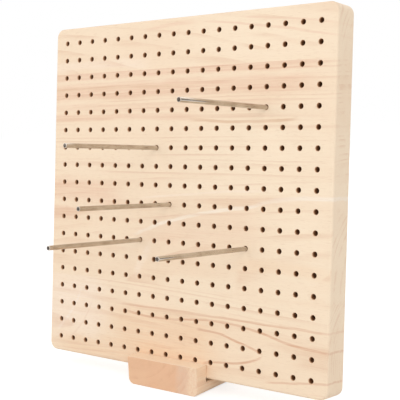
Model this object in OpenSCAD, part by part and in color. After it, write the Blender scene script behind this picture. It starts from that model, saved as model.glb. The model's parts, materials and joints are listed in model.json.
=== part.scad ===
// Blocking board for knitted and crocheted squares: a square board of four wooden staves
// glued edge to edge and drilled with a grid of blind holes, loose steel pins that stand in
// the holes, and one slotted wooden foot that the board leans back in.
//
// The origin is the middle of the foot's underside. +X is to the right as the pins point at
// the viewer, the viewer is at -Y, and +Z is up. All sizes are in millimetres.

/* [Board] */
// Number of holes in a row, across the board
holes_across = 18; // [16:1:30]
// Number of rows of holes, down the board
holes_down = 18; // [16:1:30]
// Spacing of the holes, the same both ways
hole_pitch = 12.5; // [11:0.5:20]
// From the outer columns of holes to the board's two sides
side_margin = 11.25; // [6:0.25:30]
// From the outer rows of holes to the board's top and bottom edges
end_margin = 10.75; // [6:0.25:30]
// Thickness of the board
board_t = 19; // [17:0.5:40]
// Radius of the board's four corners, seen from the front
corner_r = 6; // [4:0.5:10]
// Radius of the rounding along the edges of the front and the back
arris_r = 1.5; // [0.5:0.25:2]

/* [Staves] */
// Height of the narrow stave at the top
top_stave_h = 33; // [20:0.5:60]
// Height of the wide stave above the middle
upper_stave_h = 72.5; // [50:0.5:90]
// Height of the wide stave below the middle
lower_stave_h = 72; // [50:0.5:90]

/* [Holes and pins] */
// Diameter of a pin
pin_d = 3; // [2:0.1:5]
// How far a pin stands out of the board
pin_out = 84; // [30:1:150]
// Play all round a pin that stands straight in its hole
pin_play = 0.2; // [0.1:0.05:0.4]
// Play that is left at the hole's mouth once the pin has drooped
droop_play = 0.04; // [0.02:0.01:0.08]
// Depth of a hole's straight wall
hole_depth = 15; // [8:0.5:15.5]
// Angle of the drill's point at the bottom of a hole
drill_angle = 118; // [90:1:150]
// Gap between a pin's inner end and the end of the hole's wall
pin_end_gap = 0.1; // [0.05:0.05:1]
// Bevel round both ends of a pin
pin_bevel = 0.3; // [0.1:0.05:0.6]
// Column and row of each pin's hole, counted from 1 at the top left
pin_holes = [[15, 5], [8, 7], [9, 10], [7, 12], [14, 12]];

/* [Foot] */
// Width of the foot, from side to side
foot_w = 59; // [40:1:150]
// Depth of the foot, from front to back
foot_depth = 65; // [50:1:120]
// Height of the foot
foot_h = 19; // [16:0.5:40]
// Thickness of the lip in front of the slot, at its top
lip_t = 11; // [7:0.5:16]
// Depth of the slot below the foot's top
slot_depth = 11.5; // [6:0.5:13]
// How far the board leans back from upright, in degrees
lean = 7; // [0:0.5:12]
// Play between the board and each wall of the slot
slot_play = 0.15; // [0.1:0.05:0.5]
// Gap between the board's lowest edge and the slot's floor
seat_gap = 0.1; // [0.05:0.05:0.3]
// Radius of the foot's two lower side edges
foot_edge_r = 4; // [1:0.5:7]
// How far the board's middle stands to the right of the foot's middle
board_shift = 1; // [-60:1:60]

/* [Hidden] */

$fn = 64;
// How far a cut runs past the surface that it opens
cut_over = 1;

// The board's own frame lies on its front face: x to the right, y up from the bottom edge,
// and z out of the face, towards the viewer
board_w = (holes_across - 1) * hole_pitch + 2 * side_margin;
board_h = (holes_down - 1) * hole_pitch + 2 * end_margin;
function column_x(column) = (column - (holes_across + 1) / 2) * hole_pitch;
function row_y(row) = board_h - end_margin - (row - 1) * hole_pitch;

// Glue lines between the staves, from the board's bottom edge
top_joint_y = board_h - top_stave_h;
middle_joint_y = top_joint_y - upper_stave_h;
bottom_joint_y = middle_joint_y - lower_stave_h;

// A pin droops until it nearly touches the hole's wall at its mouth and at its end
hole_d = pin_d + 2 * pin_play;
drill_point_h = hole_d / 2 / tan(drill_angle / 2);
pin_droop = atan(2 * (pin_play - droop_play) / hole_depth);
pin_in = hole_depth - pin_end_gap;

// The slot leans with the board and has a level floor, so the board stands on the lower
// edge of its back, and a wedge of shadow is left under its front
slot_floor_z = foot_h - slot_depth;
slot_top_y = lip_t - foot_depth / 2;
slot_w = (board_t + 2 * slot_play) / cos(lean);
board_z = slot_floor_z + seat_gap + arris_r * (1 - cos(lean)) + (board_t - arris_r) * sin(lean);
board_y = slot_top_y + slot_play / cos(lean) + (board_z - foot_h) * tan(lean);

module in_board_frame() {
    translate([board_shift, board_y, board_z])
        rotate([90 - lean, 0, 0])
            children();
}

// The board's edge, cut across: it reaches outwards along x to the corner radius
module edge_profile() {
    translate([0, -board_t])
        square([corner_r - arris_r, board_t]);
    translate([0, arris_r - board_t])
        square([corner_r, board_t - 2 * arris_r]);
    for (z = [-arris_r, arris_r - board_t])
        translate([corner_r - arris_r, z])
            circle(r = arris_r);
}

// The board cut across between its ends, with all four edges rounded
module plan_profile() {
    for (side = [0, 1])
        mirror([side, 0])
            translate([board_w / 2 - corner_r, 0])
                edge_profile();
    translate([corner_r - board_w / 2, -board_t])
        square([board_w - 2 * corner_r, board_t]);
}

// The board from one height to another, between its rounded corners
module strip(from_y, to_y) {
    translate([0, to_y, 0])
        rotate([90, 0, 0])
            linear_extrude(to_y - from_y)
                plan_profile();
}

// The last band of the board, as high as the corner radius, with its two corners
module end_band() {
    straight = board_w - 2 * corner_r;
    translate([-straight / 2, 0, 0])
        rotate([90, 0, 90])
            linear_extrude(straight)
                edge_profile();
    for (side = [0, 1])
        mirror([side, 0, 0])
            translate([straight / 2, 0, 0])
                rotate_extrude(angle = 90)
                    edge_profile();
}

// What the drill takes out: a straight wall, a pointed end and an open mouth
module drilled_hole() {
    rotate_extrude()
        polygon([
            [0, -hole_depth - drill_point_h],
            [hole_d / 2, -hole_depth],
            [hole_d / 2, cut_over],
            [0, cut_over]
        ]);
}

// All the holes that touch the board between two heights
module hole_rows(from_y, to_y) {
    for (row = [1:holes_down])
        if (row_y(row) + hole_d / 2 > from_y && row_y(row) - hole_d / 2 < to_y)
            for (column = [1:holes_across])
                translate([column_x(column), row_y(row), 0])
                    drilled_hole();
}

module top_stave() {
    color("moccasin")
        in_board_frame()
            difference() {
                union() {
                    strip(top_joint_y, board_h - corner_r);
                    translate([0, board_h - corner_r, 0])
                        end_band();
                }
                hole_rows(top_joint_y, board_h);
            }
}

module upper_stave() {
    color("burlywood")
        in_board_frame()
            difference() {
                strip(middle_joint_y, top_joint_y);
                hole_rows(middle_joint_y, top_joint_y);
            }
}

module lower_stave() {
    color("wheat")
        in_board_frame()
            difference() {
                strip(bottom_joint_y, middle_joint_y);
                hole_rows(bottom_joint_y, middle_joint_y);
            }
}

module bottom_stave() {
    color("navajowhite")
        in_board_frame()
            difference() {
                union() {
                    strip(corner_r, bottom_joint_y);
                    translate([0, corner_r, 0])
                        mirror([0, 1, 0])
                            end_band();
                }
                hole_rows(0, bottom_joint_y);
            }
}

// The foot from the front: square at the top, its lower side edges rounded over
module foot_profile() {
    translate([-foot_w / 2, foot_edge_r])
        square([foot_w, foot_h - foot_edge_r]);
    translate([foot_edge_r - foot_w / 2, 0])
        square([foot_w - 2 * foot_edge_r, foot_h]);
    for (side = [-1, 1])
        translate([side * (foot_w / 2 - foot_edge_r), foot_edge_r])
            circle(r = foot_edge_r);
}

// The slot from the side, as it is sawn: leaning walls, a level floor and an open top
module slot_profile() {
    floor_y = slot_top_y - slot_depth * tan(lean);
    over_y = slot_top_y + cut_over * tan(lean);
    polygon([
        [floor_y, slot_floor_z],
        [floor_y + slot_w, slot_floor_z],
        [over_y + slot_w, foot_h + cut_over],
        [over_y, foot_h + cut_over]
    ]);
}

module foot() {
    color("tan")
        difference() {
            translate([0, foot_depth / 2, 0])
                rotate([90, 0, 0])
                    linear_extrude(foot_depth)
                        foot_profile();
            translate([-foot_w / 2 - cut_over, 0, 0])
                rotate([90, 0, 90])
                    linear_extrude(foot_w + 2 * cut_over)
                        slot_profile();
        }
}

// A plain straight pin in its own frame, turned about the middle of the hole's wall
module pin_blank() {
    inner_z = hole_depth / 2 - pin_in;
    outer_z = hole_depth / 2 + pin_out;
    rotate_extrude()
        polygon([
            [0, inner_z],
            [pin_d / 2 - pin_bevel, inner_z],
            [pin_d / 2, inner_z + pin_bevel],
            [pin_d / 2, outer_z - pin_bevel],
            [pin_d / 2 - pin_bevel, outer_z],
            [0, outer_z]
        ]);
}

module pin(number) {
    place = pin_holes[number - 1];
    color("silver")
        in_board_frame()
            translate([column_x(place[0]), row_y(place[1]), -hole_depth / 2])
                rotate([pin_droop, 0, 0])
                    pin_blank();
}

top_stave();
upper_stave();
lower_stave();
bottom_stave();
foot();
pin(1);  // pin_1
pin(2);  // pin_2
pin(3);  // pin_3
pin(4);  // pin_4
pin(5);  // pin_5
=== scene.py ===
import json
import math

import bmesh
import bpy
from mathutils import Euler, Matrix, Vector


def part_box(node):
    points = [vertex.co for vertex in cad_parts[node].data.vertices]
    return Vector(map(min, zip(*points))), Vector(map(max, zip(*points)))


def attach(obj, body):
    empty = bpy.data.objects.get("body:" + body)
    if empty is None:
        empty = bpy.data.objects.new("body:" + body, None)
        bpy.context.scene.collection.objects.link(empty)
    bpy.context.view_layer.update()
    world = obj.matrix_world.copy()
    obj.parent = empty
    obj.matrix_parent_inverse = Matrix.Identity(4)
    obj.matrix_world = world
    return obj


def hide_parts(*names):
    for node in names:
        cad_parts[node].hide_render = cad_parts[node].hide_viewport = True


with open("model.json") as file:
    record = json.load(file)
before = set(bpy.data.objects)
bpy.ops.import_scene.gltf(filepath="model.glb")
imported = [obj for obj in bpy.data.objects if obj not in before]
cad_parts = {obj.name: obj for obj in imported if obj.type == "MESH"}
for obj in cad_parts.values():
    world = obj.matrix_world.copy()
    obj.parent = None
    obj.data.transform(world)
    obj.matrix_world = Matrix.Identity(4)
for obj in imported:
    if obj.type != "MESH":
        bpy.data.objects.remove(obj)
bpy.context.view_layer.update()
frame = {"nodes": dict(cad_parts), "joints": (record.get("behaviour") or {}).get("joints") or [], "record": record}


# The glued board, before it is drilled
# Four staves of pale plantation hardwood lie edge to edge, with the grain running across.
# They are glued, sawn to size, rounded at the corners and sanded on every arris.
corner_r = 0.006
corner_steps = 10
arris_r = 0.0015
arris_steps = 5
tolerance = 1e-6

joints = {joint["name"]: joint for joint in frame["joints"]}
mounts = {mount["name"]: mount for mount in frame["record"]["mounts"]}
board_up = Vector(joints["board_lift"]["axis"]).normalized()
face_out = Vector(mounts["work_face"]["axis"]).normalized()
board_right = board_up.cross(face_out)
into_board = Matrix((board_right, board_up, face_out))
stave_names = ("top_stave", "upper_stave", "lower_stave", "bottom_stave")


def extent_along_board(name):
    """The lowest and highest corner of a stave, measured along the board's own three directions."""
    points = [into_board @ vertex.co for vertex in frame["nodes"][name].data.vertices]
    low = Vector(min(point[axis] for point in points) for axis in range(3))
    high = Vector(max(point[axis] for point in points) for axis in range(3))
    return low, high


stave_extents = {name: extent_along_board(name) for name in stave_names}
board_low = stave_extents["bottom_stave"][0]
board_high = stave_extents["top_stave"][1]
board_w, board_h, board_t = board_high - board_low
face_foot = Vector((board_low.x + board_w / 2, board_low.y, board_high.z))
board_origin = into_board.inverted() @ face_foot
board_place = Matrix.Translation(board_origin) @ into_board.transposed().to_4x4()


def stave_span(name):
    """How high a stave starts and ends above the board's bottom edge."""
    low, high = stave_extents[name]
    return low.y - board_low.y, high.y - board_low.y


def shaped_blank():
    """The whole board as a bmesh in its own frame: x right, y up from the edge, z out of the face."""
    blank = bmesh.new()
    middle = Matrix.Translation((0, board_h / 2, -board_t / 2))
    bmesh.ops.create_cube(blank, size=1, matrix=middle @ Matrix.Diagonal((board_w, board_h, board_t, 1)))
    upright = [edge for edge in blank.edges if abs(edge.verts[0].co.z - edge.verts[1].co.z) > board_t / 2]
    bmesh.ops.bevel(blank, geom=upright, offset=corner_r, offset_type="OFFSET", affect="EDGES",
                    segments=corner_steps, profile=0.5, material=-1)
    arrises = [edge for edge in blank.edges if abs(edge.verts[0].co.z - edge.verts[1].co.z) < tolerance]
    bmesh.ops.bevel(blank, geom=arrises, offset=arris_r, offset_type="OFFSET", affect="EDGES",
                    segments=arris_steps, profile=0.5, material=-1)
    return blank


def sawn_along(blank, height, keep_above):
    """Cuts the blank at a glue line, throws one side away and closes the glue face."""
    side = -1 if keep_above else 1
    cut = bmesh.ops.bisect_plane(
        blank, geom=blank.verts[:] + blank.edges[:] + blank.faces[:],
        plane_co=(0, height, 0), plane_no=(0, side, 0), clear_outer=True)
    rim = [part for part in cut["geom_cut"] if isinstance(part, bmesh.types.BMEdge)]
    bmesh.ops.edgeloop_fill(blank, edges=rim)


# The holes
# A gang drill bores 18 rows of 18 blind holes after the glue-up, and sanding leaves the mouths
# just broken. The walls carry painted shade, dark brown below the mouth.
hole_pitch = 0.0125
holes_across = 18
holes_down = 18
hole_r = mounts["pin_hole_top"]["dims"]["r_mm"] / 1000
hole_depth = mounts["pin_hole_top"]["dims"]["length_mm"] / 1000
drill_point_half_angle = math.radians(59)
mouth_break = 0.00015
drill_overrun = 0.002
drill_steps = 20


def drill_bit():
    """The shape that the drill takes out, pointing down into the face at the origin."""
    point = hole_depth + hole_r / math.tan(drill_point_half_angle)
    profile = ((0, -point), (hole_r, -hole_depth), (hole_r, -mouth_break),
               (hole_r + mouth_break + drill_overrun, drill_overrun), (0, drill_overrun))
    bit = bmesh.new()
    corners = [bit.verts.new((radius, 0, height)) for radius, height in profile]
    sides = [bit.edges.new(pair) for pair in zip(corners, corners[1:])]
    bmesh.ops.spin(bit, geom=corners + sides, cent=(0, 0, 0), axis=(0, 0, 1), angle=math.tau,
                   steps=drill_steps, use_merge=True)
    bmesh.ops.remove_doubles(bit, verts=bit.verts[:], dist=tolerance)
    bmesh.ops.recalc_face_normals(bit, faces=bit.faces[:])
    shape = bpy.data.meshes.new("drill_bit")
    bit.to_mesh(shape)
    bit.free()
    return shape


def hole_places(low, high):
    """The middles of the holes between two heights of the board."""
    for row in range(holes_down):
        height = board_h / 2 + (row - (holes_down - 1) / 2) * hole_pitch
        if low < height < high:
            for column in range(holes_across):
                yield (column - (holes_across - 1) / 2) * hole_pitch, height


def made_object(form, name, materials):
    """A bmesh as an object in the scene, with its materials."""
    shape = bpy.data.meshes.new(name)
    form.to_mesh(shape)
    form.free()
    for material in materials:
        shape.materials.append(material)
    made = bpy.data.objects.new(name, shape)
    bpy.context.scene.collection.objects.link(made)
    return made


def drilled(blank, name, low, high, wood, wall):
    """A stave as an object: the blank less its holes, with the wood's and the walls' materials."""
    stave = made_object(blank, name, [wood])
    bit = drill_bit()
    gang = bmesh.new()
    for x, y in hole_places(low, high):
        before = len(gang.verts)
        gang.from_mesh(bit)
        gang.verts.ensure_lookup_table()
        bmesh.ops.translate(gang, verts=gang.verts[before:], vec=(x, y, 0))
    drills = made_object(gang, "drills", [wall])
    cut = stave.modifiers.new("drill", "BOOLEAN")
    cut.operation = "DIFFERENCE"
    cut.solver = "EXACT"
    cut.material_mode = "TRANSFER"
    cut.object = drills
    bpy.context.view_layer.update()
    evaluated = stave.evaluated_get(bpy.context.evaluated_depsgraph_get())
    finished = bpy.data.meshes.new_from_object(evaluated)
    used_up = (stave.data, drills.data, bit)
    stave.modifiers.clear()
    stave.data = finished
    bpy.data.objects.remove(drills)
    for shape in used_up:
        bpy.data.meshes.remove(shape)
    finished.name = name
    return stave


def smoothed(piece, sharp_over):
    """Rounded surfaces shade smooth, edges sharper than the angle stay crisp, and flats stay flat."""
    piece.data.shade_smooth()
    piece.data.set_sharp_from_angle(angle=math.radians(sharp_over))
    flats = piece.modifiers.new("flat_faces_lead", "WEIGHTED_NORMAL")
    flats.keep_sharp = True


# The wood
# Every stave and the foot are the same pale hardwood. Its growth rings lie round a pith, so one
# pattern gives long lines on the faces and arcs on the end grain.
def colour(red, green, blue):
    """A colour as a screen shows it, with shades from 11 to 255, in the linear light of shaders."""
    linear = [((part / 255 + 0.055) / 1.055) ** 2.4 for part in (red, green, blue)]
    return (*linear, 1.0)


def add(tree, kind, settings, inputs):
    """A new shader node. Each input is given as a socket to link from, or as a plain value."""
    made = tree.nodes.new("ShaderNode" + kind)
    for name, value in settings.items():
        setattr(made, name, value)
    for key, value in inputs.items():
        if isinstance(value, bpy.types.NodeSocket):
            tree.links.new(value, made.inputs[key])
        else:
            made.inputs[key].default_value = value
    return made


def calc(tree, operation, *values):
    """One Math node's result."""
    return add(tree, "Math", {"operation": operation}, dict(enumerate(values))).outputs[0]


def ramp(tree, value, start, end, low=0.0, high=1.0):
    """A smooth step from low to high as a value goes from start to end."""
    settings = {"interpolation_type": "SMOOTHSTEP"}
    inputs = {"Value": value, "From Min": start, "From Max": end, "To Min": low, "To Max": high}
    return add(tree, "MapRange", settings, inputs).outputs["Result"]


def noise(tree, position, fineness, detail, roughness, move=(0, 0, 0)):
    """Soft noise around a half. It is finer along an axis with a larger number, and may be moved."""
    placed = add(tree, "VectorMath", {"operation": "MULTIPLY_ADD"}, {0: position, 1: fineness, 2: move})
    inputs = {"Vector": placed.outputs[0], "Scale": 1.0, "Detail": detail, "Roughness": roughness}
    return add(tree, "TexNoise", {}, inputs)


def blend_colour(tree, amount, first, second):
    """A colour between two others."""
    mixed = add(tree, "Mix", {"data_type": "RGBA"}, {"Factor": amount, 6: first, 7: second})
    return mixed.outputs[2]


def shader_group(name, inputs, outputs):
    """An empty node group with its sockets, and the nodes that hold its inputs and outputs."""
    group = bpy.data.node_groups.new(name, "ShaderNodeTree")
    for label, kind, value in inputs:
        group.interface.new_socket(label, in_out="INPUT", socket_type=kind).default_value = value
    for label, kind in outputs:
        group.interface.new_socket(label, in_out="OUTPUT", socket_type=kind)
    given = group.nodes.new("NodeGroupInput").outputs
    result = group.nodes.new("NodeGroupOutput").inputs
    return group, given, result


def use_group(tree, group, inputs):
    """The outputs of a group that is placed in a material, with its inputs linked or set."""
    return add(tree, "Group", {"node_tree": group}, inputs).outputs


def new_material(name):
    """A new material, with its node tree and its Principled shader."""
    material = bpy.data.materials.new(name)
    material.use_nodes = True
    tree = material.node_tree
    return material, tree, tree.nodes["Principled BSDF"]


# Growth rings, fibres and pores at a point in millimetres, with x along the grain. A larger
# number makes a pattern finer along the grain, across it or into the wood.
sway_fineness = (0.006, 0.022, 0.022)
break_fineness = (0.012, 0.12, 0.12)
fibre_fineness = (0.025, 1.1, 1.1)
pore_fineness = (0.16, 3.4, 3.4)
cloud_fineness = (0.012, 0.05, 0.05)
year_swing = 2.4
late_wood_start = 0.45
late_wood_full = 0.93
late_wood_end = 0.95
break_spread = (0.38, 0.68)
pore_spread = (0.62, 0.72)

wood_grain, given, result = shader_group(
    "wood_grain",
    [("Position", "NodeSocketVector", (0, 0, 0)), ("Pith Height", "NodeSocketFloat", 0.0),
     ("Pith Depth", "NodeSocketFloat", 40.0), ("Pith Slope", "NodeSocketFloat", 0.0),
     ("Ring Width", "NodeSocketFloat", 3.0), ("Waviness", "NodeSocketFloat", 3.0)],
    [("Ring Line", "NodeSocketFloat"), ("Ring Tone", "NodeSocketFloat"),
     ("Fibre", "NodeSocketFloat"), ("Pore", "NodeSocketFloat"), ("Cloud", "NodeSocketFloat")])
sway = noise(wood_grain, given["Position"], sway_fineness, 2.0, 0.45)
sway = add(wood_grain, "VectorMath", {"operation": "SUBTRACT"}, {0: sway.outputs["Color"], 1: (0.5,) * 3})
sway = add(wood_grain, "VectorMath", {"operation": "SCALE"},
           {0: sway.outputs[0], "Scale": given["Waviness"]})
bent = add(wood_grain, "VectorMath", {"operation": "ADD"}, {0: given["Position"], 1: sway.outputs[0]})
bent = add(wood_grain, "SeparateXYZ", {}, {0: bent.outputs[0]}).outputs
from_pith = calc(wood_grain, "SUBTRACT", bent["Y"], given["Pith Height"])
deep = calc(wood_grain, "ADD", bent["Z"], given["Pith Depth"])
deep = calc(wood_grain, "ADD", deep, calc(wood_grain, "MULTIPLY", bent["X"], given["Pith Slope"]))
up_squared = calc(wood_grain, "MULTIPLY", from_pith, from_pith)
deep_squared = calc(wood_grain, "MULTIPLY", deep, deep)
from_centre = calc(wood_grain, "SQRT", calc(wood_grain, "ADD", up_squared, deep_squared))
ring = calc(wood_grain, "DIVIDE", from_centre, given["Ring Width"])
year = add(wood_grain, "TexNoise", {"noise_dimensions": "1D"}, {"W": ring, "Scale": 0.45, "Detail": 2.0})
ring = calc(wood_grain, "MULTIPLY_ADD", year.outputs[0], year_swing, ring)
season = calc(wood_grain, "FRACT", ring)
late = ramp(wood_grain, season, late_wood_start, late_wood_full)
late = calc(wood_grain, "MULTIPLY", late, ramp(wood_grain, season, late_wood_end, 1.0, 1.0, 0.0))
breaks = noise(wood_grain, given["Position"], break_fineness, 2.0, 0.5)
late = calc(wood_grain, "MULTIPLY", late, ramp(wood_grain, breaks.outputs[0], *break_spread))
wood_grain.links.new(late, result["Ring Line"])
tone = add(wood_grain, "TexNoise", {"noise_dimensions": "1D"}, {"W": ring, "Scale": 0.8, "Detail": 2.0})
wood_grain.links.new(tone.outputs[0], result["Ring Tone"])
fibre = noise(wood_grain, given["Position"], fibre_fineness, 5.0, 0.62)
wood_grain.links.new(fibre.outputs[0], result["Fibre"])
pore = noise(wood_grain, given["Position"], pore_fineness, 1.0, 0.5)
wood_grain.links.new(ramp(wood_grain, pore.outputs[0], *pore_spread), result["Pore"])
cloud = noise(wood_grain, given["Position"], cloud_fineness, 3.0, 0.5, (7.0, 3.0, 1.0))
wood_grain.links.new(cloud.outputs[0], result["Cloud"])

# A stroke of the wood's figure: a band or line that follows a height along the board, wanders a
# little, and is broken up by the fibres. It is whole near its middle line and gone past its edge.
wander_fineness = (0.03, 0.1, 0.1)
tear_fineness = (0.02, 0.7, 0.7)
wander_least = 1.6
wander_per_half_width = 1.1
whole_within = 0.45
gone_beyond = 1.35
tear_spread = (0.25, 0.6)
left_in_tears = 0.55

figure_stroke, given, result = shader_group(
    "figure_stroke",
    [("Position", "NodeSocketVector", (0, 0, 0)), ("Height", "NodeSocketFloat", 0.0),
     ("Half Width", "NodeSocketFloat", 1.0), ("Start", "NodeSocketFloat", -100.0),
     ("End", "NodeSocketFloat", 100.0), ("Fade", "NodeSocketFloat", 20.0)],
    [("Mask", "NodeSocketFloat")])
spot = add(figure_stroke, "SeparateXYZ", {}, {0: given["Position"]}).outputs
wander = noise(figure_stroke, given["Position"], wander_fineness, 3.0, 0.55, (3.0, 9.0, 4.0))
wander = calc(figure_stroke, "SUBTRACT", wander.outputs[0], 0.5)
room = calc(figure_stroke, "MULTIPLY_ADD", given["Half Width"], wander_per_half_width, wander_least)
drift = calc(figure_stroke, "MULTIPLY", wander, room)
off = calc(figure_stroke, "SUBTRACT", calc(figure_stroke, "ADD", spot["Y"], drift), given["Height"])
share = calc(figure_stroke, "DIVIDE", calc(figure_stroke, "ABSOLUTE", off), given["Half Width"])
stroke = ramp(figure_stroke, share, whole_within, gone_beyond, 1.0, 0.0)
start_end = calc(figure_stroke, "ADD", given["Start"], given["Fade"])
end_start = calc(figure_stroke, "SUBTRACT", given["End"], given["Fade"])
stroke = calc(figure_stroke, "MULTIPLY", stroke, ramp(figure_stroke, spot["X"], given["Start"], start_end))
stroke = calc(figure_stroke, "MULTIPLY", stroke,
              ramp(figure_stroke, spot["X"], end_start, given["End"], 1.0, 0.0))
torn = noise(figure_stroke, given["Position"], tear_fineness, 3.0, 0.6, (5.0, 1.0, 8.0))
stroke = calc(figure_stroke, "MULTIPLY", stroke,
              ramp(figure_stroke, torn.outputs[0], *tear_spread, left_in_tears, 1.0))
figure_stroke.links.new(stroke, result["Mask"])

millimetre = 0.001
# A stroke's route is held by a curve node that runs from 0 to 1, over this many millimetres
curve_span = 320.0


def grain_position(tree, origin, turn):
    """The point being shaded, in millimetres from an origin, with x along the wood's grain."""
    place = tree.nodes.new("ShaderNodeTexCoord").outputs["Object"]
    inputs = {"Vector": place, "Location": origin, "Rotation": turn, "Scale": (millimetre,) * 3}
    return add(tree, "Mapping", {"vector_type": "TEXTURE"}, inputs).outputs[0]


def stroke_mask(tree, position, points, half_width, fade):
    """Where a stroke of the figure lies that follows a few points along the board, in millimetres."""
    along = add(tree, "SeparateXYZ", {}, {0: position}).outputs["X"]
    share = calc(tree, "MULTIPLY_ADD", along, 1 / curve_span, 0.5)
    line = tree.nodes.new("ShaderNodeFloatCurve")
    route = line.mapping.curves[0]
    while len(route.points) < len(points):
        route.points.new(0.5, 0.5)
    for knot, (x, y) in zip(route.points, points):
        knot.location = (x / curve_span + 0.5, y / curve_span)
    line.mapping.update()
    tree.links.new(share, line.inputs["Value"])
    height = calc(tree, "MULTIPLY", line.outputs[0], curve_span)
    inputs = {"Position": position, "Height": height, "Half Width": half_width,
              "Start": points[0][0], "End": points[-1][0], "Fade": fade}
    return use_group(tree, figure_stroke, inputs)["Mask"]


noise_spread = (0.3, 0.7)
cloud_spread = (0.35, 0.65)
ring_tone_spread = (0.4, 0.75)
ring_tone_share = 0.6
ring_line_share = 0.35
fibre_share = 0.5
pore_share = 0.3
pore_relief = -0.8
sanded_relief = 0.0001
sanded_strength = 0.25
wood_roughness = (0.56, 0.7)
wood_shine = 0.3


def wood_material(name, origin, turn, rings, shades, strokes):
    """Sanded, unvarnished wood: rings, fibres and pores, with the strokes of its own figure on top."""
    material, tree, surface = new_material(name)
    position = grain_position(tree, origin, turn)
    grain = use_group(tree, wood_grain, {"Position": position, **rings})
    base = blend_colour(tree, ramp(tree, grain["Cloud"], *cloud_spread), shades["pale"], shades["body"])
    tone = ramp(tree, grain["Ring Tone"], *ring_tone_spread, 0.0, ring_tone_share)
    base = blend_colour(tree, tone, base, shades["ring"])
    for points, half_width, fade, shade, amount in strokes:
        mask = calc(tree, "MULTIPLY", stroke_mask(tree, position, points, half_width, fade), amount)
        base = blend_colour(tree, mask, base, shade)
    line = calc(tree, "MULTIPLY", grain["Ring Line"], ring_line_share)
    base = blend_colour(tree, line, base, shades["line"])
    streak = ramp(tree, grain["Fibre"], *noise_spread, 0.0, fibre_share)
    base = blend_colour(tree, streak, base, shades["fibre"])
    pore = calc(tree, "MULTIPLY", grain["Pore"], pore_share)
    base = blend_colour(tree, pore, base, shades["pore"])
    relief = calc(tree, "MULTIPLY_ADD", grain["Pore"], pore_relief, grain["Fibre"])
    bump = add(tree, "Bump", {},
               {"Strength": sanded_strength, "Distance": sanded_relief, "Height": relief})
    tree.links.new(base, surface.inputs["Base Color"])
    roughness = ramp(tree, grain["Fibre"], *noise_spread, *wood_roughness)
    tree.links.new(roughness, surface.inputs["Roughness"])
    tree.links.new(bump.outputs[0], surface.inputs["Normal"])
    surface.inputs["Specular IOR Level"].default_value = wood_shine
    return material


cream = colour(250, 227, 199)
pale_cream = colour(253, 233, 206)
yellow_tan = colour(247, 221, 192)
pink_tan = colour(240, 204, 176)
brown_tan = colour(228, 190, 156)
pink_white = colour(254, 234, 214)
orange_tan = colour(243, 205, 168)
red_brown = colour(214, 160, 124)
red_line = colour(222, 172, 138)
pore_brown = colour(208, 168, 132)
crooked_line_white = colour(255, 240, 222)
curl_white = colour(255, 240, 226)
curl_tan = colour(240, 212, 188)
plain_shades = {"pale": cream, "body": yellow_tan, "ring": cream, "line": red_brown, "fibre": cream,
                "pore": pore_brown}

# Each stroke below is its route in millimetres from the middle of the board's bottom edge, its
# half width, how far its ends fade, its colour and how strong it is.
stave_wood = {}
board_turn = into_board.transposed().to_euler()

# The top stave is plain and pale, with a few lines that fall away to the right
stave_wood["top_stave"] = wood_material(
    "top_stave_wood", board_origin, board_turn,
    {"Pith Height": 190.0, "Pith Depth": 55.0, "Pith Slope": 0.09, "Ring Width": 5.0, "Waviness": 6.0},
    plain_shades,
    [([(-20, 217), (50, 217), (150, 216)], 24.0, 70.0, pale_cream, 0.8),
     ([(-140, 206), (-80, 206), (-20, 205)], 3.5, 20.0, pink_white, 0.6),
     ([(-34, 227), (-10, 229.5), (16, 230)], 1.3, 12.0, pink_tan, 0.7),
     ([(12, 230.5), (60, 224), (125, 212.5)], 0.8, 20.0, pink_tan, 0.7),
     ([(40, 231), (80, 226.5), (125, 220)], 0.7, 20.0, pink_tan, 0.6)])

# The upper stave has two pink-brown bands under its glue line and a short dark streak
stave_wood["upper_stave"] = wood_material(
    "upper_stave_wood", board_origin, board_turn,
    {"Pith Height": -60.0, "Pith Depth": 30.0, "Pith Slope": 0.02, "Ring Width": 4.0, "Waviness": 5.0},
    plain_shades,
    [([(-150, 147), (0, 147), (150, 147)], 19.0, 30.0, cream, 0.6),
     ([(-20, 146), (50, 146), (150, 146)], 19.0, 60.0, pale_cream, 0.9),
     ([(-150, 199), (0, 199), (60, 199), (118, 199)], 3.2, 26.0, pink_tan, 1.0),
     ([(-150, 188), (0, 187.5), (60, 187.5), (116, 187)], 6.0, 34.0, pink_tan, 1.0),
     ([(-150, 189), (-60, 190), (20, 188)], 1.2, 30.0, brown_tan, 0.6),
     ([(-150, 177), (0, 176), (95, 177)], 3.0, 30.0, pink_tan, 0.45),
     ([(-150, 169.5), (-20, 169), (30, 168)], 2.2, 30.0, pink_tan, 0.7),
     ([(4, 167.6), (20, 166), (36, 164.8), (60, 165), (96, 165.4)], 1.0, 14.0, brown_tan, 1.0)])

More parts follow.
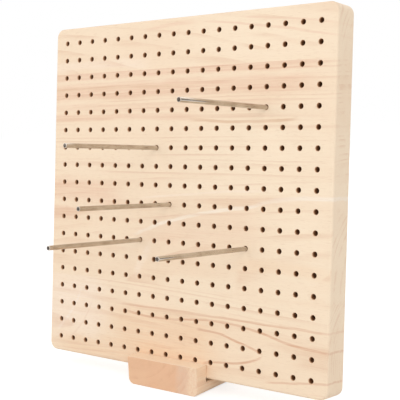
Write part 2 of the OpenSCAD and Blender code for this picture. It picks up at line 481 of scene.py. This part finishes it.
# The lower stave is pink at its left, and a pale crooked line climbs across it to the right
stave_wood["lower_stave"] = wood_material(
    "lower_stave_wood", board_origin, board_turn,
    {"Pith Height": 60.0, "Pith Depth": 70.0, "Pith Slope": -0.06, "Ring Width": 5.0, "Waviness": 8.0},
    plain_shades,
    [([(-40, 84), (0, 92), (40, 98), (90, 98)], 12.0, 36.0, pink_tan, 0.4),
     ([(40, 88), (100, 86), (150, 86)], 28.0, 50.0, pale_cream, 0.9),
     ([(-30, 124), (50, 124), (150, 122)], 7.0, 40.0, pale_cream, 0.9),
     ([(-150, 120), (-80, 117), (-38, 113)], 8.5, 30.0, pink_tan, 0.95),
     ([(-150, 101), (-110, 101), (-84, 101)], 6.0, 16.0, pink_tan, 0.8),
     ([(-40, 61), (50, 61), (150, 61)], 4.5, 40.0, pale_cream, 0.6),
     ([(36, 73), (80, 76), (125, 72)], 4.5, 28.0, orange_tan, 0.4),
     ([(-39, 57), (-31, 70), (-19, 84)], 5.0, 6.0, pink_white, 0.6),
     ([(-38, 113), (4, 117.4), (45, 121), (80, 122)], 0.8, 16.0, pink_white, 0.7),
     ([(-40, 87.5), (-21, 95), (1, 101.4), (18, 105.5), (45, 109.7), (60, 111.8), (71, 115.3), (140, 117.6)],
      1.3, 10.0, crooked_line_white, 1.0)])

# The bottom stave has a flame of red-brown lines, with its tongue pointing to the right
stave_wood["bottom_stave"] = wood_material(
    "bottom_stave_wood", board_origin, board_turn,
    {"Pith Height": 21.5, "Pith Depth": 38.0, "Pith Slope": 0.028, "Ring Width": 2.4, "Waviness": 2.0},
    plain_shades,
    [([(-150, 36), (-100, 36), (-50, 38)], 22.0, 30.0, pink_white, 0.9),
     ([(-112, 14), (-96, 30), (-84, 52)], 1.6, 6.0, curl_white, 0.7),
     ([(-98, 10), (-80, 30), (-72, 50)], 1.2, 6.0, curl_tan, 0.6),
     ([(-20, 50), (60, 49), (150, 48)], 6.5, 40.0, pale_cream, 0.8),
     ([(50, 25), (100, 25), (150, 25)], 26.0, 50.0, cream, 0.7),
     ([(-68, 24), (-30, 24), (50, 22)], 15.0, 30.0, orange_tan, 0.7),
     ([(-120, 5), (-40, 8), (30, 8)], 8.0, 30.0, orange_tan, 0.6),
     ([(-52, 40.5), (-10, 40.8), (40, 40.3), (125, 40)], 0.8, 15.0, red_line, 0.7),
     ([(-46, 36.6), (-25, 34.7), (-3, 34.7), (26, 37.6), (70, 34.7), (90, 30.5), (125, 28)],
      0.8, 12.0, red_line, 0.9),
     ([(18, 31), (38, 30), (52, 26.5), (65, 23.6), (72, 21.2)], 0.8, 4.0, red_line, 1.0),
     ([(24, 10), (38, 11.8), (55, 14), (68, 18.3), (72, 20.8)], 0.8, 4.0, red_line, 0.9),
     ([(70, 4), (95, 7.6), (125, 11)], 0.7, 10.0, red_line, 0.7)])


# The holes' walls carry painted shade: mottled dark brown down the hole, and the wood's own colour near the mouth
hole_shade_depth = 1.6
hole_shade_fineness = (0.6, 0.6, 2.5)
wall_roughness = 0.6
hole_mouth_wood = colour(226, 184, 146)
hole_shade_deepest = colour(120, 78, 48)
hole_shade_lighter = colour(168, 120, 80)


def hole_shade_material():
    """A hole's wall in painted shade: dark further down, with the wood's colour just below the face."""
    material, tree, surface = new_material("hole_wall_painted_shade")
    position = grain_position(tree, board_origin, board_turn)
    hole_shade_mottle = noise(tree, position, hole_shade_fineness, 3.0, 0.6)
    hole_shade_mottle_share = ramp(tree, hole_shade_mottle.outputs[0], *noise_spread)
    shade = blend_colour(tree, hole_shade_mottle_share, hole_shade_deepest, hole_shade_lighter)
    below_face = add(tree, "SeparateXYZ", {}, {0: position}).outputs["Z"]
    # The painted shade fades to the wood's colour towards the mouth
    raw = ramp(tree, below_face, -hole_shade_depth, -hole_shade_depth / 4)
    shade = blend_colour(tree, raw, shade, hole_mouth_wood)
    tree.links.new(shade, surface.inputs["Base Color"])
    surface.inputs["Roughness"].default_value = wall_roughness
    return material


hole_wall_painted_shade = hole_shade_material()

for name in stave_names:
    low, high = stave_span(name)
    blank = shaped_blank()
    if low > tolerance:
        sawn_along(blank, low, keep_above=True)
    if high < board_h - tolerance:
        sawn_along(blank, high, keep_above=False)
    stave = drilled(blank, name + "_piece", low, high, stave_wood[name], hole_wall_painted_shade)
    stave.data.transform(board_place)
    smoothed(stave, sharp_over=32)
    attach(stave, "board")
    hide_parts(name)


# The foot
# One block of the same wood, cut across so that its front shows end grain. A leaning slot is
# sawn over its full width, and its two lower side edges are rounded over.
foot_low, foot_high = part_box("foot")
foot_edge_r = 0.004
foot_edge_steps = 8
foot_arris_r = 0.0006
foot_arris_steps = 3
lip_t = 0.011
slot_depth = 0.0115
slot_play = 0.00015
crisp_over = math.radians(40)
foot_pale = colour(240, 198, 162)
foot_body = colour(238, 192, 156)
foot_ring = colour(230, 182, 146)
foot_fibre = colour(240, 196, 160)
foot_layer = colour(234, 204, 182)

lean_across = board_up.y / board_up.z
slot_w = (board_t + 2 * slot_play) / board_up.z
slot_front_y = foot_low.y + lip_t
slot_floor_z = foot_high.z - slot_depth
slot_floor_y = slot_front_y - slot_depth * lean_across
side_view = ((foot_low.y, foot_low.z), (foot_high.y, foot_low.z), (foot_high.y, foot_high.z),
             (slot_front_y + slot_w, foot_high.z), (slot_floor_y + slot_w, slot_floor_z),
             (slot_floor_y, slot_floor_z), (slot_front_y, foot_high.z), (foot_low.y, foot_high.z))

block = bmesh.new()
outline = block.faces.new([block.verts.new((foot_low.x, y, z)) for y, z in side_view])
grown = bmesh.ops.extrude_face_region(block, geom=[outline])
far_side = [part for part in grown["geom"] if isinstance(part, bmesh.types.BMVert)]
bmesh.ops.translate(block, verts=far_side, vec=(foot_high.x - foot_low.x, 0, 0))
bmesh.ops.recalc_face_normals(block, faces=block.faces[:])


def lies_low_along_side(edge):
    """True for the two long lower edges, which run from front to back."""
    low = all(abs(vertex.co.z - foot_low.z) < tolerance for vertex in edge.verts)
    return low and abs(edge.verts[0].co.x - edge.verts[1].co.x) < tolerance


round_edges = [edge for edge in block.edges if lies_low_along_side(edge)]
bmesh.ops.bevel(block, geom=round_edges, offset=foot_edge_r, offset_type="OFFSET", affect="EDGES",
                segments=foot_edge_steps, profile=0.5, material=-1)
crisp_edges = [edge for edge in block.edges if edge.calc_face_angle_signed() > crisp_over]
bmesh.ops.bevel(block, geom=crisp_edges, offset=foot_arris_r, offset_type="OFFSET", affect="EDGES",
                segments=foot_arris_steps, profile=0.5, material=-1)

foot_turn = Euler((0, 0, math.radians(90)))
foot_wood = wood_material(
    "foot_wood", (foot_high.x, 0, 0), foot_turn,
    {"Pith Height": 55.0, "Pith Depth": -45.0, "Pith Slope": 0.0, "Ring Width": 7.0, "Waviness": 2.0},
    {"pale": foot_pale, "body": foot_body, "ring": foot_ring, "line": red_brown, "fibre": foot_fibre,
     "pore": pore_brown},
    [([(-150, 1), (0, 1), (150, 1)], 8.0, 1.0, cream, 0.9),
     ([(-150, 12), (0, 12), (150, 12)], 5.0, 1.0, foot_layer, 0.7)])

# The faces that look up are side grain, which is paler than the end grain in front, and they are also painted
# paler as painted light from above
turned_up = (0.3, 0.95)
side_grain_and_painted_light_most = 0.75
tree = foot_wood.node_tree
surface = tree.nodes["Principled BSDF"]
end_grain = surface.inputs["Base Color"].links[0].from_socket
facing = tree.nodes.new("ShaderNodeTexCoord").outputs["Normal"]
upward = add(tree, "SeparateXYZ", {}, {0: facing}).outputs["Z"]
side_grain_and_painted_light_share = ramp(tree, upward, *turned_up, 0.0, side_grain_and_painted_light_most)
# Painted light from above: the more a face looks up, the more it is painted cream
tree.links.new(blend_colour(tree, side_grain_and_painted_light_share, end_grain, cream), surface.inputs["Base Color"])

foot = made_object(block, "foot_piece", [foot_wood])
smoothed(foot, sharp_over=32)
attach(foot, "foot_block")
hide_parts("foot")


# The pins
# Five plain rods of polished stainless steel, cropped to length and barrelled so that their
# ends are just rounded. They stand loose in their holes.
pin_end_r = 0.0003
pin_end_steps = 3
pin_steps = 48
pin_names = ("pin_1", "pin_2", "pin_3", "pin_4", "pin_5")
end_facing = 0.99
mark_fineness = (0.02, 6.0, 6.0)
mark_depth = 0.00002
mark_strength = 0.1
smudge_fineness = (0.12, 0.3, 0.3)
steel_roughness = (0.12, 0.22)


def pin_profile(radius, half_length):
    """Half of a pin cut along its length, as points from one end's middle to the other's."""
    end = [(0.0, half_length), (radius - pin_end_r, half_length)]
    for step in range(1, pin_end_steps + 1):
        angle = math.pi / 2 * (1 - step / pin_end_steps)
        inwards = pin_end_r * (1 - math.cos(angle))
        back = pin_end_r * (1 - math.sin(angle))
        end.append((radius - inwards, half_length - back))
    return end + [(across, -along) for across, along in reversed(end)]


def steel_material(name, smudged, clean):
    """Polished rod with faint lengthwise drawing marks and smudges."""
    material, tree, surface = new_material(name)
    pull = Vector(joints["pin_1_pull"]["axis"])
    along_pull = pull.to_track_quat("X", "Z").to_euler()
    position = grain_position(tree, (0, 0, 0), along_pull)
    marks = noise(tree, position, mark_fineness, 3.0, 0.6)
    smudge = noise(tree, position, smudge_fineness, 3.0, 0.5)
    shade = blend_colour(tree, ramp(tree, smudge.outputs[0], *noise_spread), smudged, clean)
    tree.links.new(shade, surface.inputs["Base Color"])
    roughness = ramp(tree, smudge.outputs[0], *noise_spread, *steel_roughness)
    tree.links.new(roughness, surface.inputs["Roughness"])
    bump = add(tree, "Bump", {},
               {"Strength": mark_strength, "Distance": mark_depth, "Height": marks.outputs[0]})
    tree.links.new(bump.outputs[0], surface.inputs["Normal"])
    surface.inputs["Metallic"].default_value = 1.0
    return material


# The cropped ends are painted much darker than the polished sides, as a painted dark reflection on the same steel
pin_steel = steel_material("pin_steel", smudged=colour(186, 176, 164), clean=colour(206, 198, 188))
pin_end_painted_dark = steel_material("pin_end_painted_dark", smudged=colour(70, 62, 56), clean=colour(104, 95, 88))

for name in pin_names:
    pull = Vector(joints[name + "_pull"]["axis"]).normalized()
    low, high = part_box(name)
    middle = (low + high) / 2
    reach = [pull.dot(vertex.co - middle) for vertex in frame["nodes"][name].data.vertices]
    half_length = (max(reach) - min(reach)) / 2
    radius = (high.x - low.x) / 2
    rod = bmesh.new()
    rim = [rod.verts.new((across, 0, along)) for across, along in pin_profile(radius, half_length)]
    sides = [rod.edges.new(pair) for pair in zip(rim, rim[1:])]
    bmesh.ops.spin(rod, geom=rim + sides, cent=(0, 0, 0), axis=(0, 0, 1), angle=math.tau,
                   steps=pin_steps, use_merge=True)
    bmesh.ops.remove_doubles(rod, verts=rod.verts[:], dist=tolerance)
    bmesh.ops.recalc_face_normals(rod, faces=rod.faces[:])
    for face in rod.faces:
        face.material_index = 1 if abs(face.normal.z) > end_facing else 0
    along_pull = pull.to_track_quat("Z", "X").to_matrix().to_4x4()
    bmesh.ops.transform(rod, matrix=Matrix.Translation(middle) @ along_pull, verts=rod.verts[:])
    pin = made_object(rod, name + "_piece", [pin_steel, pin_end_painted_dark])
    smoothed(pin, sharp_over=50)
    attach(pin, name + "_body")
    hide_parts(name)


# The studio
# A pale floor and an even white surround, as in a product photograph. Large soft lamps stand in
# front of the board on both sides and behind it, and a dark flag stripes the polished pins.
floor_half = 3.0
floor_grey = (0.8, 0.8, 0.8, 1)
shown_floor_grey = (0.5, 0.5, 0.5, 1)
shown_floor_glow = 0.68
white = (1, 1, 1, 1)
ambient = 0.64
lamp_size = 1.5
lamp_aim = (0.0, 0.0, 0.12)


def seen_directly(tree):
    """Gives 1 for rays from the camera, and for those that metal or glass has turned aside."""
    path = tree.nodes.new("ShaderNodeLightPath").outputs
    seen = calc(tree, "MAXIMUM", path["Is Camera Ray"], path["Is Glossy Ray"])
    return calc(tree, "MAXIMUM", seen, path["Is Transmission Ray"])


floor_paint, tree, matt = new_material("floor_paint")
matt.inputs["Base Color"].default_value = floor_grey
matt.inputs["Roughness"].default_value = 1.0
matt.inputs["Specular IOR Level"].default_value = 0.0
bright = add(tree, "BsdfPrincipled", {},
             {"Base Color": shown_floor_grey, "Roughness": 1.0, "Specular IOR Level": 0.0,
              "Emission Color": white, "Emission Strength": shown_floor_glow})
shown = add(tree, "MixShader", {}, {0: seen_directly(tree), 1: matt.outputs[0], 2: bright.outputs[0]})
tree.links.new(shown.outputs[0], tree.nodes["Material Output"].inputs["Surface"])

ground = bmesh.new()
bmesh.ops.create_grid(ground, x_segments=1, y_segments=1, size=floor_half)
floor = made_object(ground, "floor", [floor_paint])

surround = bpy.data.worlds.new("surround")
surround.use_nodes = True
bpy.context.scene.world = surround
tree = surround.node_tree
strength = calc(tree, "MAXIMUM", seen_directly(tree), ambient)
tree.links.new(strength, tree.nodes["Background"].inputs["Strength"])
tree.nodes["Background"].inputs["Color"].default_value = white

# The flag stands upright far behind to the right, and shows only in the pins' reflections
flag_place = (1.15, 1.15, 0.17)
flag_turn = Euler((math.radians(90), 0, math.radians(-45)))
flag_w = 1.1
flag_h = 0.7
flag_black = (0.03, 0.025, 0.02, 1)

flag_cloth, _, dark = new_material("flag_cloth")
dark.inputs["Base Color"].default_value = flag_black
cloth = bmesh.new()
bmesh.ops.create_grid(cloth, x_segments=1, y_segments=1, size=0.5)
stand = Matrix.Translation(flag_place) @ flag_turn.to_matrix().to_4x4()
bmesh.ops.transform(cloth, matrix=stand @ Matrix.Diagonal((flag_w, flag_h, 1, 1)), verts=cloth.verts[:])
flag = made_object(cloth, "flag", [flag_cloth])
flag.visible_camera = False
flag.visible_diffuse = False
flag.visible_shadow = False


def soft_lamp(name, place, power):
    """A square soft box that faces the middle of the board."""
    light = bpy.data.lights.new(name, "AREA")
    light.shape = "SQUARE"
    light.size = lamp_size
    light.energy = power
    lamp = bpy.data.objects.new(name, light)
    lamp.location = place
    lamp.rotation_euler = (Vector(lamp_aim) - Vector(place)).to_track_quat("-Z", "Y").to_euler()
    bpy.context.scene.collection.objects.link(lamp)


soft_lamp("right_soft_box", place=(1.0, -1.1, 1.0), power=9.4)
soft_lamp("left_soft_box", place=(-1.1, -1.0, 0.9), power=6.0)
soft_lamp("rear_soft_box", place=(-0.5, 1.5, 0.9), power=8.0)

bpy.context.scene.view_settings.view_transform = "Standard"


# The camera
# It stands to the right of the board and a little below its top, where the photograph was taken
# from. Its lens, place and angles were worked out from the grid of holes.
focal_length = 83.68
sensor_width = 36.0
nearest_seen = 0.01
camera_place = (0.390385, -0.475281, 0.19747)
camera_angles = (82.9114, 2.8151, 38.0507)

lens = bpy.data.cameras.new("camera")
lens.sensor_width = sensor_width
lens.lens = focal_length
lens.clip_start = nearest_seen
camera = bpy.data.objects.new("camera", lens)
camera.location = camera_place
camera.rotation_euler = Euler([math.radians(angle) for angle in camera_angles])
bpy.context.scene.collection.objects.link(camera)
bpy.context.scene.camera = camera
